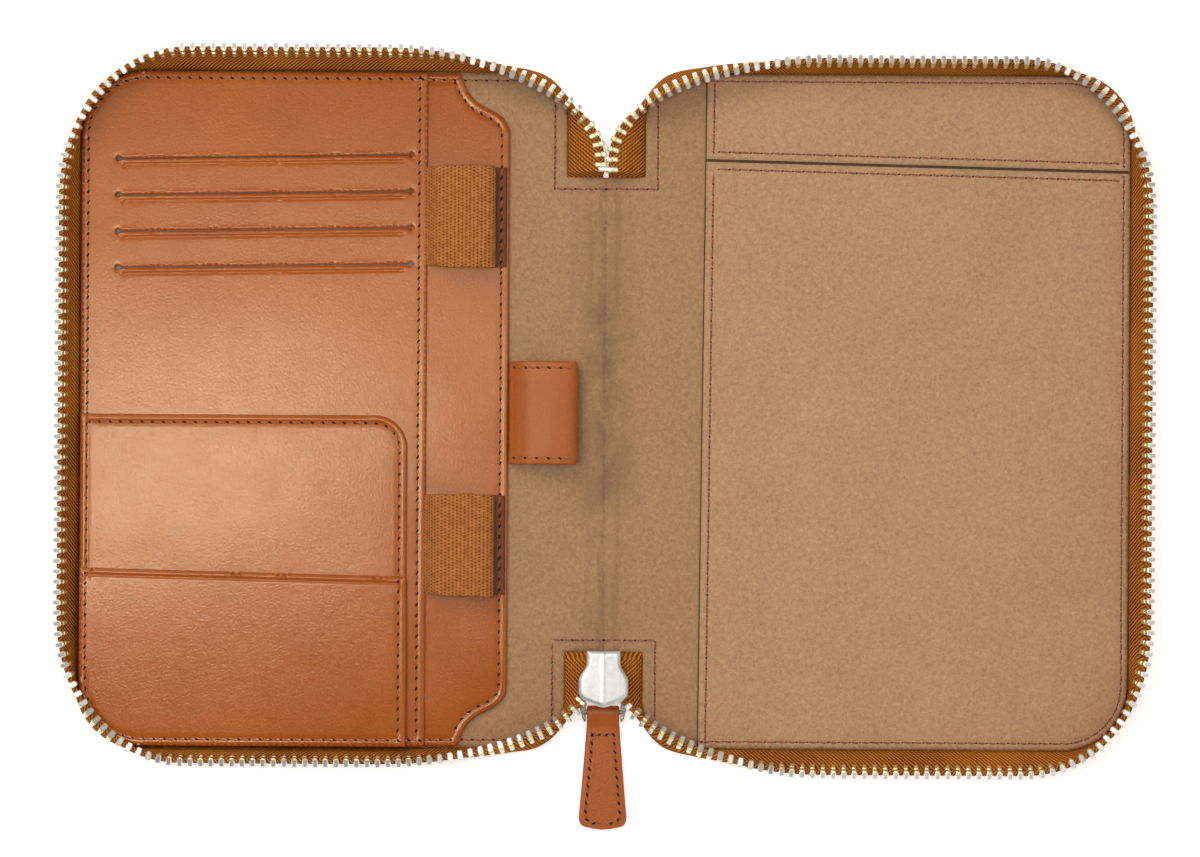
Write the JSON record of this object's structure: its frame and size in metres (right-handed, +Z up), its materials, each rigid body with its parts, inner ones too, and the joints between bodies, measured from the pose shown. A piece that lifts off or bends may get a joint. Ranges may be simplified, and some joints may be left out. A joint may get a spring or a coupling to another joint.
{
  "type": "portfolio case",
  "caption": "Zip-round leather organiser case, lying open: card slots, slip pockets and pen loops on the left, a notebook pocket on the right.",
  "frame": {"origin": "middle of the spine's underside, on the surface that the open case lies on", "axes": "+X from the spine to the right cover, +Y along the spine to the top of the case, +Z up out of the lining"},
  "size_m": [0.3366, 0.2392, 0.0135],
  "materials": {
    "tan_leather": "smooth, satin",
    "suede": "matt suede nap",
    "zip_tape": "woven",
    "elastic": "woven elastic",
    "liner": "woven",
    "board": "matt",
    "zip_metal": "bright",
    "slider_metal": "satin"
  },
  "bodies": {
    "right_cover": {"right_outer_leather": "tan_leather", "right_board": "board", "right_lining": "suede", "notebook_pocket_panel": "suede", "notebook_pocket_band": "suede", "right_zip_tape": "zip_tape", "right_zip_teeth": "zip_metal"},
    "spine": {"spine_outer_leather": "tan_leather", "spine_interlining": "liner", "spine_lining": "suede", "zip_end_tape_top": "zip_tape", "zip_end_tape_bottom": "zip_tape", "zip_end_teeth_top": "zip_metal", "zip_end_teeth_bottom": "zip_metal", "zip_top_stop": "zip_metal", "zip_bottom_stop": "zip_metal"},
    "left_cover": {"left_outer_leather": "tan_leather", "left_board": "board", "left_lining": "suede", "pen_strip": "tan_leather", "card_panel": "tan_leather", "card_pocket_liner_1": "liner", "card_pocket_liner_2": "liner", "card_pocket_liner_3": "liner", "card_pocket_liner_4": "liner", "slip_pocket_rear": "tan_leather", "slip_pocket_front": "tan_leather", "elastic_loop_upper": "elastic", "elastic_loop_lower": "elastic", "left_zip_tape": "zip_tape", "left_zip_teeth": "zip_metal"},
    "pen_loop": {"pen_loop": "tan_leather"},
    "slider": {"slider_body": "slider_metal"},
    "pull_link": {"pull_link": "slider_metal"},
    "pull_tab": {"pull_tab": "tan_leather"}
  },
  "joints": [
    {"name": "spine_fold", "type": "hinge", "parent": "right_cover", "child": "spine", "pos_m": [0.012, 0, 0.0028], "axis": [0, 1, 0], "range_deg": [0, 90]},
    {"name": "cover_fold", "type": "hinge", "parent": "spine", "child": "left_cover", "pos_m": [-0.012, 0, 0.0028], "axis": [0, 1, 0], "range_deg": [0, 90]},
    {"name": "pen_loop_lift", "type": "hinge", "parent": "left_cover", "child": "pen_loop", "pos_m": [-0.0294, -0.00075, 0.0042], "axis": [0, -1, 0], "range_deg": [0, 45]},
    {"name": "slider_travel", "type": "slide", "parent": "spine", "child": "slider", "axis": [0, -1, 0], "range_m": [0, 0.006]},
    {"name": "link_swing", "type": "hinge", "parent": "slider", "child": "pull_link", "pos_m": [0, -0.0869, 0.0022], "axis": [1, 0, 0], "range_deg": [0, 100]},
    {"name": "tab_swing", "type": "hinge", "parent": "pull_link", "child": "pull_tab", "pos_m": [0, -0.0925, 0.0022], "axis": [1, 0, 0], "range_deg": [-5, 75]}
  ],
  "couplings": [
    {"joint": "cover_fold", "follows": "spine_fold", "ratio": 1},
    {"joint": "pen_loop_lift", "follows": "spine_fold", "ratio": 0.5}
  ]
}
